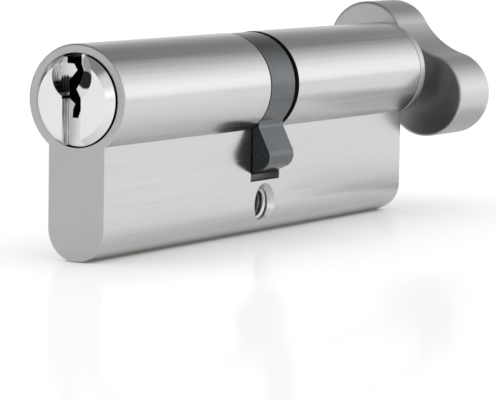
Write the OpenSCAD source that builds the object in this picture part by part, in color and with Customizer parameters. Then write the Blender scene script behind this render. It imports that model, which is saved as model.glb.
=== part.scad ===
// Euro profile lock cylinder with a key side and a thumbturn side.
// Millimetres. The origin is the centre of the fixing screw hole, from which
// both half lengths are measured. +X runs along the screw hole, +Y towards
// the thumbturn and +Z up. The plug's axis lies above the hole, along Y.

/* [Profile] */
// Diameter of the round head of the profile
head_d = 17; // [16.5:0.1:17.5]
// Width of the flat leg
leg_w = 10; // [9.5:0.1:11]
// Height of the whole profile
profile_h = 33; // [32.5:0.1:35]
// Length from the fixing hole to the key face
key_half = 50; // [45:1:80]
// Length from the fixing hole to the thumbturn face
knob_half = 50; // [25:1:80]
// Rounding of the leg's edges at the thumbturn face
end_round = 0.9; // [0.3:0.1:1.2]
// Broken edge at the key face
face_break = 0.25; // [0.1:0.05:0.5]
// Broken edges of the head and of the thumbturn's collar where they meet
collar_break = 0.1; // [0.05:0.05:0.5]

/* [Fixing hole] */
// Thread diameter of the fixing screw hole
screw_d = 5; // [4:0.5:5.5]
// Depth of the countersink at each end of the hole
screw_sink = 0.9; // [0.3:0.05:1.2]
// Drop from the plug's axis to the hole
screw_drop = 19.35; // [19:0.05:19.8]

/* [Plug] */
// Bore for the plug and for the thumbturn spindle
bore_d = 13.1; // [12.6:0.1:13.4]
// Radial running clearance of the turning pieces
run_gap = 0.05; // [0.03:0.01:0.08]
// Radial step from the plug's shank out to its head
plug_head_step = 0.5; // [0.4:0.05:0.6]
// Radial gap between the plug's head and its seat
plug_seat_gap = 0.2; // [0.1:0.05:0.3]
// Depth of that seat
plug_seat_depth = 2; // [1.5:0.1:3]
// How far the plug stands out of the key face
plug_proud = 1.5; // [0.8:0.1:2]
// Straight rim of the plug's head between the key face and the bevel
plug_rim = 0.4; // [0.1:0.05:0.6]
// Diameter of the plug's flat face inside the bevel
plug_face_d = 11.8; // [11:0.1:12.6]
// Diameter of the round key recess in the face
recess_d = 7; // [6.4:0.1:7.4]
// Height of the recess above the axis
recess_rise = 3.7; // [3.4:0.1:4]
// Depth of the recess and of the groove below it
recess_depth = 2.1; // [1:0.1:2.5]
// Width of the groove below the recess
groove_w = 3.3; // [2.6:0.1:4]
// Shift of the whole keyway sideways
keyway_shift = 0; // [-0.3:0.05:0.3]
// Solid length of the plug behind the keyway
plug_back_wall = 4.2; // [3:0.1:5]

/* [Pins] */
// Distance from the key face to the first pin
first_pin = 9; // [8:0.5:10]
// Distance between pins
pin_pitch = 5; // [4:0.1:5.2]
// Diameter of the pin chambers
chamber_d = 3; // [2.6:0.1:3.2]
// Radial clearance of a pin in its chamber
pin_gap = 0.06; // [0.04:0.01:0.1]
// Length of the shortest key pin
key_pin_min = 4.4; // [4:0.1:4.6]
// Step between key pin lengths
key_pin_step = 0.3; // [0.1:0.05:0.35]
// Length of a driver pin
driver_len = 5.9; // [5:0.1:6.5]
// Length of a chamber's closing plug
closing_len = 2.85; // [2:0.05:3.5]
// Wire diameter of the pin springs
pin_wire_d = 0.34; // [0.2:0.02:0.4]

/* [Cam] */
// Width of the slot that the cam turns in
cam_slot_w = 9.6; // [9.5:0.1:10.4]
// Gap in front of the cam
cam_front_gap = 0.25; // [0.15:0.05:0.3]
// Gap behind the cam
cam_rear_gap = 1.25; // [0.9:0.05:1.3]
// How far the cam's ring lies below the head
cam_sunk = 0.1; // [0:0.05:0.2]
// Reach of the bit from the axis
cam_reach = 15; // [13.5:0.1:15.2]
// Clearance of the bit over the floor of the slot
cam_tip_gap = 0.45; // [0.2:0.05:0.6]
// Width of the bit where it leaves the ring
bit_neck_w = 7.8; // [6:0.1:8.4]
// Flare of each flank of the bit, in degrees
bit_flare = 8.5; // [0:0.5:10]
// Rounding of the bit's outer corners
bit_corner = 2.2; // [1:0.1:2.6]
// Rounding in the neck between ring and bit
bit_neck_round = 1.5; // [0.6:0.1:2.5]
// Angle of the bit from straight down
bit_angle = 17.5; // [-60:0.5:60]
// How far the retaining clips reach past the bore
clip_grip = 0.45; // [0.3:0.05:0.6]
// Thickness of the retaining clips
clip_t = 0.7; // [0.5:0.05:0.75]

/* [Clutch] */
// Width of the clutch bars
clutch_w = 3; // [2.4:0.1:3.4]
// Reach of the clutch lugs past the plug's tail
lug_reach = 1.1; // [0.8:0.05:1.2]
// Thickness of the key side bar
key_bar_t = 1.65; // [1.3:0.05:1.7]
// Thickness of the thumbturn side bar
knob_bar_t = 2.05; // [1.9:0.05:2.1]
// Travel of the clutch when a key goes in
clutch_travel = 1.8; // [1.75:0.01:1.82]
// Diameter of the clutch spring's blind hole
clutch_hole_d = 3.6; // [3:0.1:4]
// Length of that hole behind the spindle's shoulder
clutch_hole_len = 10; // [8:0.5:14]
// Wire diameter of the clutch spring
clutch_wire_d = 0.4; // [0.3:0.02:0.46]

/* [Thumbturn] */
// Length of the knob's collar
collar_len = 2.35; // [2:0.05:4]
// Rounding of the collar's rear edge
collar_round = 0.9; // [0.3:0.1:1.2]
// Diameter of the neck between collar and grip
neck_d = 10.8; // [10:0.1:11.5]
// Length of the neck
neck_len = 4.5; // [4:0.1:8]
// Depth of the grip along the axis
grip_depth = 11.8; // [9:0.1:14]
// Diameter of each lobe of the grip
lobe_d = 14.7; // [13.5:0.1:15.5]
// Distance from the axis to each lobe's centre
lobe_offset = 7.4; // [7:0.05:9]
// Width of the grip at its waist
waist_w = 12; // [11.4:0.1:12.8]
// Rounding of the grip's front edge
grip_round = 0.4; // [0.2:0.1:1.5]
// Rounding of the grip's rear edge
grip_back_round = 0.6; // [0.2:0.1:2]
// Angle of the grip below level
grip_angle = 37; // [0:1:90]
// Diameter of the spindle's stub in the knob
stub_d = 6; // [5.4:0.1:6.2]
// Length of that stub
stub_len = 14; // [10:0.5:14.5]
// Diameter of the grub screw
grub_d = 3; // [2.5:0.5:3]

/* [Hidden] */
$fn = 96;
coil_steps = 10;
coil_sides = 5;
coil_closed_pitch = 1.1;
cut = 1;
eps = 0.02;

head_r = head_d / 2;
leg_floor = head_r - profile_h;
leg_round_z = leg_floor + leg_w / 2;
key_face = -key_half;
knob_face = knob_half;
screw_r = screw_d / 2;
slot_front = -cam_slot_w / 2;
slot_rear = cam_slot_w / 2;
slot_floor = -(cam_reach + cam_tip_gap);

// Key side plug
bore_r = bore_d / 2;
plug_r = bore_r - run_gap;
plug_head_r = plug_r + plug_head_step;
plug_seat_r = plug_head_r + plug_seat_gap;
plug_front = key_face - plug_proud;
plug_shoulder = key_face + plug_seat_depth - run_gap;
tail_step = 0.5;
tail_r = plug_r - tail_step;
clip_groove_depth = 0.8;
groove_r = tail_r - clip_groove_depth;
shoulder_step = 0.05;
plug_end = slot_front + shoulder_step;
clip_play = 0.05;
clip_groove_w = clip_t + 2 * clip_play;
clip_r = bore_r + clip_grip;
clip_inner_r = groove_r + clip_play;
clip_mouth = 5;
bar_gap = 0.05;
plug_tail_end = -bar_gap;
nose_r = clutch_w / 2;
nose_gap = 0.1;
slide_gap = 0.025;
recess_floor = plug_front + recess_depth;
keyway_end = plug_end - plug_back_wall;
// Height, left side and right side of the keyway at each turn of its outline
keyway_levels = [
    [plug_head_r + cut, -2.1, 0.45],
    [5.5, -2.1, 0.45],
    [5.45, -0.9, 0.45],
    [4.5, -0.3, 0.85],
    [2.9, -1.75, 0.3],
    [1.6, -1.75, -0.45],
    [0.3, -1.75, 0.3],
    [-0.6, -0.65, 0.38],
    [-1.4, -1.0, 0.38],
    [-2.7, -1.1, -0.1],
];

// Pin stacks, stored at the shear line
pin_count = 6;
pin_bitting = [2, 5, 1, 4, 6, 3];
spool_drivers = [2, 5];
chamber_r = chamber_d / 2;
pin_r = chamber_r - pin_gap;
shear_gap = 0.05;
key_pin_end_r = pin_r / 2;
key_pin_foot = -sqrt(pow(plug_r - shear_gap, 2) - pow(key_pin_end_r, 2));
key_pin_edge = -sqrt(pow(plug_r - shear_gap, 2) - pow(pin_r, 2));
key_pin_tip = 0.7;
key_pin_lift = 2;
pin_hole_top = key_pin_foot + key_pin_min + key_pin_step * max(pin_bitting) + key_pin_lift + shear_gap;
driver_top = -(bore_r + shear_gap / 2);
driver_foot = driver_top - driver_len;
driver_edge = 0.25;
spool_depth = 0.46;
spool_waist_r = pin_r - spool_depth;
spool_rim = 1.3;
closing_top = leg_floor + closing_len;
closing_gap = 0.01;
coil_room = 0.08;
pin_coil_r = pin_r - pin_wire_d / 2 - coil_room;
pin_coil_turns = 8;
coil_seat = 0.04;

// Cam and its retaining clips
ring_r = head_r - cam_sunk;
cam_front = slot_front + cam_front_gap;
cam_rear = slot_rear - cam_rear_gap;
// The bit's walls cross their neighbours by this much
bit_blend = 0.02;
cam_bore_r = tail_r + run_gap;
bar_r = tail_r + lug_reach;
cam_room = 0.25;
cam_room_r = max(clip_r, bar_r) + cam_room;
drive_slot_room = 0.2;
drive_slot_r = bar_r + drive_slot_room;
plug_clip_front = plug_end + clip_play;
spindle_clip_rear = slot_rear - shoulder_step - clip_play;
spindle_clip_front = spindle_clip_rear - clip_t;

// Clutch, at rest with the thumbturn side in the cam
tail_cover = 0.9;
key_bar_rear = plug_tail_end - tail_cover;
key_bar_front = key_bar_rear - key_bar_t;
drive_front = key_bar_rear + bar_gap;
knob_bar_front = plug_tail_end + 2 * bar_gap;
knob_bar_rear = knob_bar_front + knob_bar_t;
drive_rear = knob_bar_front + clutch_travel - bar_gap;
nose_sunk = 0.2;
nose_front = keyway_end + nose_sunk;
hub_rear = knob_bar_front - bar_gap;
tail_slot_front = key_bar_front - 2 * bar_gap;

// Thumbturn spindle and knob
spindle_front = key_bar_rear + clutch_travel + 3 * bar_gap;
spindle_slot_rear = knob_bar_rear + clutch_travel + bar_gap;
spindle_step = slot_rear - shoulder_step;
spindle_rear = knob_face + shoulder_step;
clutch_hole_r = clutch_hole_d / 2;
clutch_coil_r = clutch_hole_r - clutch_wire_d / 2 - coil_room;
clutch_coil_turns = 8;
pilot_gap = 0.15;
spring_pilot_r = clutch_coil_r - clutch_wire_d / 2 - pilot_gap;
spring_pilot_len = 1.3;
clutch_hole_end = spindle_step + clutch_hole_len;
collar_front = knob_face + 3 * shoulder_step;
collar_rear = collar_front + collar_len;
grip_front = collar_rear + neck_len;
grip_rear = grip_front + grip_depth;
neck_r = neck_d / 2;
stub_r = stub_d / 2;
stub_gap = 0.02;
stub_end = spindle_rear + stub_len;
flat_depth = 0.5;
flat_r = stub_r - flat_depth;
grub_r = grub_d / 2;
grub_y = (collar_rear + grip_front) / 2;
grub_sunk = 0.3;
grub_socket = grub_d / 2 / cos(30);
grub_socket_depth = 1.2;
lobe_r = lobe_d / 2;
waist_r = (pow(lobe_offset, 2) + pow(waist_w / 2, 2) - pow(lobe_r, 2)) / (lobe_d - waist_w);
waist_centre = waist_w / 2 + waist_r;
// The lobes stand this much proud of the waist, so that their walls cross
waist_blend = 0.03;
waist_cut_r = waist_r + waist_blend;

nickel = [0.72, 0.72, 0.70];
bright_nickel = [0.86, 0.86, 0.85];
cam_steel = [0.40, 0.43, 0.45];
pin_brass = [0.80, 0.66, 0.34];
spring_steel = [0.62, 0.63, 0.65];
clip_steel = [0.30, 0.31, 0.33];

function flip(p) = [-p[0], p[1]];
function pin_y(i) = key_face + first_pin + (i - 1) * pin_pitch;
function key_pin_len(i) = key_pin_min + key_pin_step * pin_bitting[i - 1];

// Shared forms

// Lifts pieces drawn around the plug's axis to their place above the hole
module on_axis() {
    translate([0, 0, screw_drop]) children();
}

// Extrudes an outline drawn in X and Z from y0 to y1
module extrude_y(y0, y1) {
    translate([0, y1, 0]) rotate([90, 0, 0]) linear_extrude(y1 - y0) children();
}

// Turns a profile of radius and Y around the Y axis
module revolve_y() {
    rotate([-90, 0, 0]) rotate_extrude() children();
}

// Plain round bar along Y
module bar_y(r, y0, y1) {
    translate([0, y0, 0]) rotate([-90, 0, 0]) cylinder(h = y1 - y0, r = r);
}

// Box that is centred on the axis in X and Z
module box_y(w, h, y0, y1) {
    translate([-w / 2, y0, -h / 2]) cube([w, y1 - y0, h]);
}

// Half outline of a bar, radius by length, with rounded outer corners
module rounded_half(r, y0, y1, f0, f1) {
    translate([0, y0 + f0]) square([r, y1 - y0 - f0 - f1]);
    translate([0, y0]) square([r - f0, f0]);
    translate([0, y1 - f1]) square([r - f1, f1]);
    translate([r - f0, y0 + f0]) circle(f0);
    translate([r - f1, y1 - f1]) circle(f1);
}

// Coil spring of round wire from z = 0 to z = length, with closed ends
module coil(mean_r, wire_d, length, turns) {
    wire_r = wire_d / 2;
    last = turns * coil_steps;
    closed = coil_closed_pitch * wire_d;
    rise = (length - wire_d - 2 * closed) / (turns - 2);
    function height(t) = wire_r + (t < 1 ? closed * t
        : t > turns - 1 ? length - wire_d - closed * (turns - t)
        : closed + rise * (t - 1));
    rings = [for (s = [0:last]) for (k = [0:coil_sides - 1])
        let (t = s / coil_steps, a = 360 * t, w = 360 * k / coil_sides,
             r = mean_r + wire_r * cos(w))
        [r * cos(a), r * sin(a), height(t) + wire_r * sin(w)]];
    walls = [for (s = [0:last - 1]) for (k = [0:coil_sides - 1])
        let (a = s * coil_sides + k, b = s * coil_sides + (k + 1) % coil_sides)
        [[a, b, b + coil_sides], [a, b + coil_sides, a + coil_sides]]];
    sides = [for (pair = walls) for (face = pair) face];
    first_cap = [for (k = [coil_sides - 1:-1:0]) k];
    last_cap = [for (k = [0:coil_sides - 1]) last * coil_sides + k];
    polyhedron(rings, concat([first_cap], sides, [last_cap]));
}

// Open retaining ring around the axis, with its mouth downwards
module retaining_clip(y0) {
    difference() {
        bar_y(clip_r, y0, y0 + clip_t);
        bar_y(clip_inner_r, y0 - cut, y0 + clip_t + cut);
        translate([-clip_mouth / 2, y0 - cut, -clip_r - cut])
            cube([clip_mouth, clip_t + 2 * cut, clip_r + cut]);
    }
}

// Housing

// Round head, flat leg and round foot of the profile, with rounded ends
module profile_bar() {
    revolve_y() rounded_half(head_r, key_face, knob_face, face_break, collar_break);
    translate([0, 0, leg_round_z]) {
        revolve_y() rounded_half(leg_w / 2, key_face, knob_face, face_break, end_round);
        linear_extrude(-leg_round_z) {
            rounded_half(leg_w / 2, key_face, knob_face, face_break, end_round);
            mirror([1, 0]) rounded_half(leg_w / 2, key_face, knob_face, face_break, end_round);
        }
    }
}

// Threaded hole across the leg, countersunk at both ends
module fixing_hole() {
    sink_r = screw_r + screw_sink;
    translate([0, 0, -screw_drop]) rotate([0, 90, 0]) {
        cylinder(h = leg_w + 2 * cut, r = screw_r, center = true);
        for (side = [0, 180]) rotate([side, 0, 0])
            translate([0, 0, leg_w / 2 - screw_sink])
                cylinder(h = 2 * screw_sink, r1 = screw_r, r2 = sink_r + screw_sink);
    }
}

module cylinder_body() {
    color(nickel) on_axis() difference() {
        profile_bar();
        bar_y(bore_r, key_face - cut, knob_face + cut);
        bar_y(plug_seat_r, key_face - cut, key_face + plug_seat_depth);
        translate([-head_d, slot_front, slot_floor])
            cube([2 * head_d, cam_slot_w, head_d - slot_floor]);
        fixing_hole();
        for (i = [1:pin_count])
            translate([0, pin_y(i), leg_floor - cut])
                cylinder(h = -leg_floor - bore_r / 2 + cut, r = chamber_r);
    }
}

module chamber_plug(i) {
    color(pin_brass) on_axis() intersection() {
        translate([0, pin_y(i), leg_floor - cut])
            cylinder(h = closing_len + cut, r = chamber_r - closing_gap);
        translate([0, 0, leg_round_z]) bar_y(leg_w / 2, key_face, slot_front);
    }
}

module pin_spring(i) {
    foot = closing_top + coil_seat;
    color(spring_steel) on_axis() translate([0, pin_y(i), foot])
        coil(pin_coil_r, pin_wire_d, driver_foot - coil_seat - foot, pin_coil_turns);
}

// Key side

// Outline of the keyway, down its left side and up its right side
module keyway_outline() {
    translate([keyway_shift, 0]) polygon(concat(
        [for (level = keyway_levels) [level[1], level[0]]],
        [for (k = [len(keyway_levels) - 1:-1:0]) [keyway_levels[k][2], keyway_levels[k][0]]]
    ));
}

module key_plug() {
    color(bright_nickel) on_axis() difference() {
        revolve_y() polygon([
            [0, plug_front], [plug_face_d / 2, plug_front], [plug_head_r, key_face - plug_rim],
            [plug_head_r, plug_shoulder], [plug_r, plug_shoulder], [plug_r, plug_end],
            [groove_r, plug_end], [groove_r, plug_end + clip_groove_w],
            [tail_r, plug_end + clip_groove_w], [tail_r, plug_tail_end], [0, plug_tail_end],
        ]);
        translate([0, 0, recess_rise]) bar_y(recess_d / 2, plug_front - cut, recess_floor);
        translate([-groove_w / 2, plug_front - cut, -plug_head_r - cut])
            cube([groove_w, recess_depth + cut, plug_head_r + cut + recess_rise]);
        extrude_y(plug_front - cut, keyway_end) keyway_outline();
        for (i = [1:pin_count])
            translate([0, pin_y(i), -plug_r - cut])
                cylinder(h = plug_r + cut + pin_hole_top, r = chamber_r);
        bar_y(nose_r + nose_gap, keyway_end - cut, tail_slot_front + cut);
        box_y(2 * bar_r, clutch_w + 2 * slide_gap, tail_slot_front, plug_tail_end + cut);
    }
}

module plug_circlip() {
    color(clip_steel) on_axis() retaining_clip(plug_clip_front);
}

module key_pin(i) {
    top = key_pin_foot + key_pin_len(i);
    color(pin_brass) on_axis() translate([0, pin_y(i), 0]) rotate_extrude() polygon([
        [0, key_pin_foot], [key_pin_end_r, key_pin_foot], [pin_r, key_pin_edge],
        [pin_r, top - key_pin_tip], [pin_r - key_pin_tip, top], [0, top],
    ]);
}

// Plain driver, or a spool with a narrow waist
module driver_pin(i) {
    spool = len(search(i, spool_drivers)) > 0;
    waist = spool ? spool_waist_r : pin_r;
    color(pin_brass) on_axis() translate([0, pin_y(i), 0]) rotate_extrude() polygon([
        [0, driver_foot], [pin_r - driver_edge, driver_foot], [pin_r, driver_foot + driver_edge],
        [pin_r, driver_foot + spool_rim], [waist, driver_foot + spool_rim + (pin_r - waist)],
        [waist, driver_top - spool_rim - (pin_r - waist)], [pin_r, driver_top - spool_rim],
        [pin_r, driver_top - driver_edge], [pin_r - driver_edge, driver_top], [0, driver_top],
    ]);
}

// Cam and clutch

// Bit of the cam, pointing down, with round corners and a round neck
module bit() {
    lean = [cos(bit_flare), sin(bit_flare)];
    along = [sin(bit_flare), -cos(bit_flare)];
    neck_drop = sqrt(pow(ring_r, 2) - pow(bit_neck_w / 2, 2));
    reach = bit_neck_w / 2 * lean[0] - neck_drop * lean[1];
    corner_at = (reach - bit_corner) * lean
        + sqrt(pow(cam_reach - bit_corner, 2) - pow(reach - bit_corner, 2)) * along;
    neck_at = (reach + bit_neck_round) * lean
        + sqrt(pow(ring_r + bit_neck_round, 2) - pow(reach + bit_neck_round, 2)) * along;
    flank_end = corner_at + (bit_corner - bit_blend) * lean;
    flank_start = neck_at - (bit_neck_round + bit_blend) * lean;
    ring_end = neck_at * ring_r / (ring_r + bit_neck_round);
    extrude_y(cam_front, cam_rear)
        polygon([[0, 0], flank_start, flank_end, flip(flank_end), flip(flank_start)]);
    extrude_y(cam_front, cam_rear) intersection() {
        circle(cam_reach - bit_blend);
        polygon([corner_at / 2, 2 * corner_at, flip(2 * corner_at), flip(corner_at / 2)]);
    }
    for (side = [0, 1]) mirror([side, 0, 0]) {
        extrude_y(cam_front, cam_rear) translate(corner_at) circle(bit_corner);
        extrude_y(cam_front, cam_rear) difference() {
            polygon([[0, -ring_r / 2], flank_start, neck_at, ring_end]);
            translate(neck_at) circle(bit_neck_round + 2 * bit_blend);
        }
    }
}

module cam() {
    color(cam_steel) on_axis() difference() {
        union() {
            bar_y(ring_r, cam_front, cam_rear);
            rotate([0, -bit_angle, 0]) bit();
        }
        bar_y(cam_bore_r, cam_front - cut, cam_rear + cut);
        bar_y(cam_room_r, cam_front - cut, drive_front);
        bar_y(cam_room_r, drive_rear, cam_rear + cut);
        box_y(2 * drive_slot_r, clutch_w + 4 * slide_gap, drive_front - eps, drive_rear + eps);
    }
}

// Bar with round ends that carries the drive lugs of one clutch half
module clutch_bar(y0, y1) {
    intersection() {
        bar_y(bar_r, y0, y1);
        box_y(2 * bar_r, clutch_w, y0, y1);
    }
}

module key_side_clutch() {
    color(cam_steel) on_axis() {
        clutch_bar(key_bar_front, key_bar_rear);
        bar_y(nose_r, nose_front, hub_rear);
    }
}

module knob_side_clutch() {
    color(cam_steel) on_axis() {
        clutch_bar(knob_bar_front, knob_bar_rear);
        bar_y(spring_pilot_r, knob_bar_front, knob_bar_rear + spring_pilot_len);
    }
}

module clutch_spring() {
    foot = knob_bar_rear + coil_seat;
    color(spring_steel) on_axis() translate([0, foot, 0]) rotate([-90, 0, 0])
        coil(clutch_coil_r, clutch_wire_d, clutch_hole_end - coil_seat - foot, clutch_coil_turns);
}

// Thumbturn side

// Turns a piece from +X to the side of the knob that the grub screw is on
module towards_grub() {
    translate([0, grub_y, 0]) rotate([0, grip_angle + 90, 0]) children();
}

module knob_spindle() {
    color(nickel) on_axis() difference() {
        revolve_y() polygon([
            [0, spindle_front], [tail_r, spindle_front], [tail_r, spindle_step - clip_groove_w],
            [groove_r, spindle_step - clip_groove_w], [groove_r, spindle_step],
            [plug_r, spindle_step], [plug_r, spindle_rear], [stub_r, spindle_rear],
            [stub_r, stub_end], [0, stub_end],
        ]);
        box_y(2 * bar_r, clutch_w + 2 * slide_gap, spindle_front - cut, spindle_slot_rear);
        bar_y(clutch_hole_r, spindle_front - cut, clutch_hole_end);
        towards_grub() translate([flat_r, -(grub_r + cut), -stub_d])
            cube([stub_d, stub_end, 2 * stub_d]);
    }
}

module spindle_circlip() {
    color(clip_steel) on_axis() retaining_clip(spindle_clip_front);
}

// Half outline that hollows one side of the waist and rounds its two edges
module waist_cutter() {
    rim = max(grip_round, grip_back_round);
    difference() {
        translate([0, grip_front - cut]) square([waist_cut_r + rim, grip_depth + 2 * cut]);
        translate([waist_cut_r + 2 * rim, 0]) mirror([1, 0])
            rounded_half(2 * rim, grip_front, grip_rear, grip_round, grip_back_round);
    }
}

// Two round lobes joined by a waist, all edges rounded, long axis along X
module grip() {
    for (side = [-1, 1]) translate([side * lobe_offset, 0, 0])
        revolve_y() rounded_half(lobe_r, grip_front, grip_rear, grip_round, grip_back_round);
    difference() {
        extrude_y(grip_front, grip_rear)
            polygon([[-lobe_offset, 0], [0, -waist_centre], [lobe_offset, 0], [0, waist_centre]]);
        for (side = [-1, 1]) translate([0, 0, side * waist_centre])
            revolve_y() waist_cutter();
    }
}

module thumbturn_knob() {
    color(nickel) on_axis() difference() {
        union() {
            revolve_y() rounded_half(head_r, collar_front, collar_rear, collar_break, collar_round);
            bar_y(neck_r, collar_rear - cut, grip_front + cut);
            rotate([0, grip_angle, 0]) grip();
        }
        bar_y(stub_r + stub_gap, collar_front - cut, stub_end + stub_gap);
        towards_grub() rotate([0, 90, 0]) cylinder(h = neck_d, r = grub_r);
    }
}

module knob_grub_screw() {
    outer = neck_r - grub_sunk;
    color(clip_steel) on_axis() towards_grub() rotate([0, 90, 0]) difference() {
        translate([0, 0, flat_r + stub_gap]) cylinder(h = outer - flat_r - stub_gap, r = grub_r - stub_gap);
        translate([0, 0, outer - grub_socket_depth])
            cylinder(h = grub_socket_depth + cut, r = grub_socket / 2, $fn = 6);
    }
}

cylinder_body();
key_plug();
plug_circlip();
for (i = [1:pin_count]) {
    key_pin(i);
    driver_pin(i);
    pin_spring(i);
    chamber_plug(i);
}
cam();
key_side_clutch();
knob_side_clutch();
clutch_spring();
knob_spindle();
spindle_circlip();
thumbturn_knob();
knob_grub_screw();
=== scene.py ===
"""Looks of a euro profile lock cylinder with a thumbturn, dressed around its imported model.

Every length is in metres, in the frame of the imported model: the origin is the centre of the
fixing hole, +X runs along that hole, +Y towards the thumbturn and +Z up.
"""

import logging
import math
from dataclasses import dataclass
from enum import Enum
from typing import Any

import bpy
from mathutils import Matrix, Vector


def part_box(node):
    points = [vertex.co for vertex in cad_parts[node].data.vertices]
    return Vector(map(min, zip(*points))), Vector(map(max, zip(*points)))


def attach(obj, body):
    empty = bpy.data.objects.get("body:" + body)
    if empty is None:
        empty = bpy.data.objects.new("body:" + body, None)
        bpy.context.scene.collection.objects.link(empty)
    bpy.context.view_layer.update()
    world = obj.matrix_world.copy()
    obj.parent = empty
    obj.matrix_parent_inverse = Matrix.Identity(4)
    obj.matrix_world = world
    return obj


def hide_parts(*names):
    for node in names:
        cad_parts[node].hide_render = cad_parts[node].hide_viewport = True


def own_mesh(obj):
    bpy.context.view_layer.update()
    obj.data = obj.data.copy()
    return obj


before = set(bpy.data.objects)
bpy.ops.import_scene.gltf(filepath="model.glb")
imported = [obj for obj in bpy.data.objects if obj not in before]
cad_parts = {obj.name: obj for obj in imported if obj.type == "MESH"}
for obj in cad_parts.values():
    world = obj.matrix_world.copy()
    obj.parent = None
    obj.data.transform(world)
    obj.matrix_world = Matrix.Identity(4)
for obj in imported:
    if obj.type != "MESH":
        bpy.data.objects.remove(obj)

Socket = bpy.types.NodeSocket
LOG = logging.getLogger("lock_cylinder")
MM = 0.001
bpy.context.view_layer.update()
PIN_NUMBERS = range(1, 7)
PLUG_AXIS_Z = sum(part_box("key_plug")[side].z for side in (0, 1)) / 2
PLUG_FACE_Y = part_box("key_plug")[0].y
FLOOR_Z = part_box("cylinder_body")[0].z
UPWARDS = Vector((0.0, 0.0, 1.0))
TOWARDS_KNOB = Vector((0.0, 1.0, 0.0))
MERGE_DISTANCE = 0.001 * MM
NOISE_MIDDLE = 0.5
LEFT_CARD_FOOT = (-0.26, 0.09)


class Graph:
    """Adds nodes to one node tree and joins their sockets."""

    def __init__(self, tree: bpy.types.NodeTree) -> None:
        """Starts from an empty tree.

        Args:
            tree: The node tree of a material, a world or a group.
        """
        self.tree = tree
        tree.nodes.clear()

    def add(self, kind: str, inputs: dict[Any, Any] | None = None, **settings: Any) -> bpy.types.Node:
        """Adds a node, sets its options and fills its inputs.

        Args:
            kind: Blender's name of the node type.
            inputs: Socket name or number to a constant or to another node's output.
            **settings: Options of the node itself.

        Returns:
            The new node.
        """
        node = self.tree.nodes.new(kind)
        for name, value in settings.items():
            setattr(node, name, value)
        for name, value in (inputs or {}).items():
            if isinstance(value, Socket):
                self.tree.links.new(value, node.inputs[name])
            else:
                node.inputs[name].default_value = value
        return node

    def math(self, operation: str, first: Any, second: Any = 0.0) -> Socket:
        """Adds a Math node and returns the socket with its result."""
        return self.add("ShaderNodeMath", {0: first, 1: second}, operation=operation).outputs[0]

    def vector(self, operation: str, first: Any, second: Any = (0.0, 0.0, 0.0)) -> Socket:
        """Adds a Vector Math node and returns the socket with its result."""
        node = self.add("ShaderNodeVectorMath", {0: first, 1: second}, operation=operation)
        return node.outputs["Value" if operation in ("DOT_PRODUCT", "LENGTH") else "Vector"]

    def ramp(self, value: Any, low: float, high: float, start: Any = 0.0, end: Any = 1.0) -> Socket:
        """Eases a value from one range into another.

        Args:
            value: The socket to map.
            low: Value that becomes start.
            high: Value that becomes end.
            start: Result at low.
            end: Result at high.

        Returns:
            The socket with the eased value.
        """
        inputs = {"Value": value, "From Min": low, "From Max": high, "To Min": start, "To Max": end}
        return self.add("ShaderNodeMapRange", inputs, interpolation_type="SMOOTHSTEP").outputs["Result"]

    def blend(self, factor: Any, first: Any, second: Any) -> Socket:
        """Mixes two colours.

        Args:
            factor: Share of the second colour.
            first: Colour or socket at factor 0.
            second: Colour or socket at factor 1.

        Returns:
            The socket with the mixed colour.
        """
        node = self.add("ShaderNodeMix", data_type="RGBA")
        sockets = [s for s in node.inputs if s.enabled]
        for socket, value in zip(sockets, (factor, first, second)):
            if isinstance(value, Socket):
                self.tree.links.new(value, socket)
            else:
                socket.default_value = value
        return next(s for s in node.outputs if s.enabled)

    def place(self) -> tuple[Socket, ...]:
        """Returns the sockets with a point's X, Y and Z in the frame of the model."""
        point = self.add("ShaderNodeTexCoord").outputs["Object"]
        return tuple(self.add("ShaderNodeSeparateXYZ", {0: point}).outputs)

    def length(self, first: Any, second: Any) -> Socket:
        """Returns the socket with the distance that two steps at right angles make."""
        squares = [self.math("POWER", self.math("ABSOLUTE", step), 2.0) for step in (first, second)]
        return self.math("SQRT", self.math("ADD", *squares))

    def noise(self, vector: Any, detail: float = 2.0, roughness: float = 0.5) -> Socket:
        """Adds a noise whose scale is already in its coordinates.

        Args:
            vector: Socket with the scaled coordinates.
            detail: Octaves of the noise.
            roughness: Weight of the finer octaves.

        Returns:
            The socket with the noise, around 0.5.
        """
        inputs = {"Vector": vector, "Scale": 1.0, "Detail": detail, "Roughness": roughness}
        return self.add("ShaderNodeTexNoise", inputs).outputs[0]


class Grain(Enum):
    """Ways in which a metal surface was worked."""

    BRUSHED = "lengthwise_brushing"
    BLASTED = "blasted_grain"
    TURNED = "turned_rings"
    MILLED = "milled_streaks"


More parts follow.
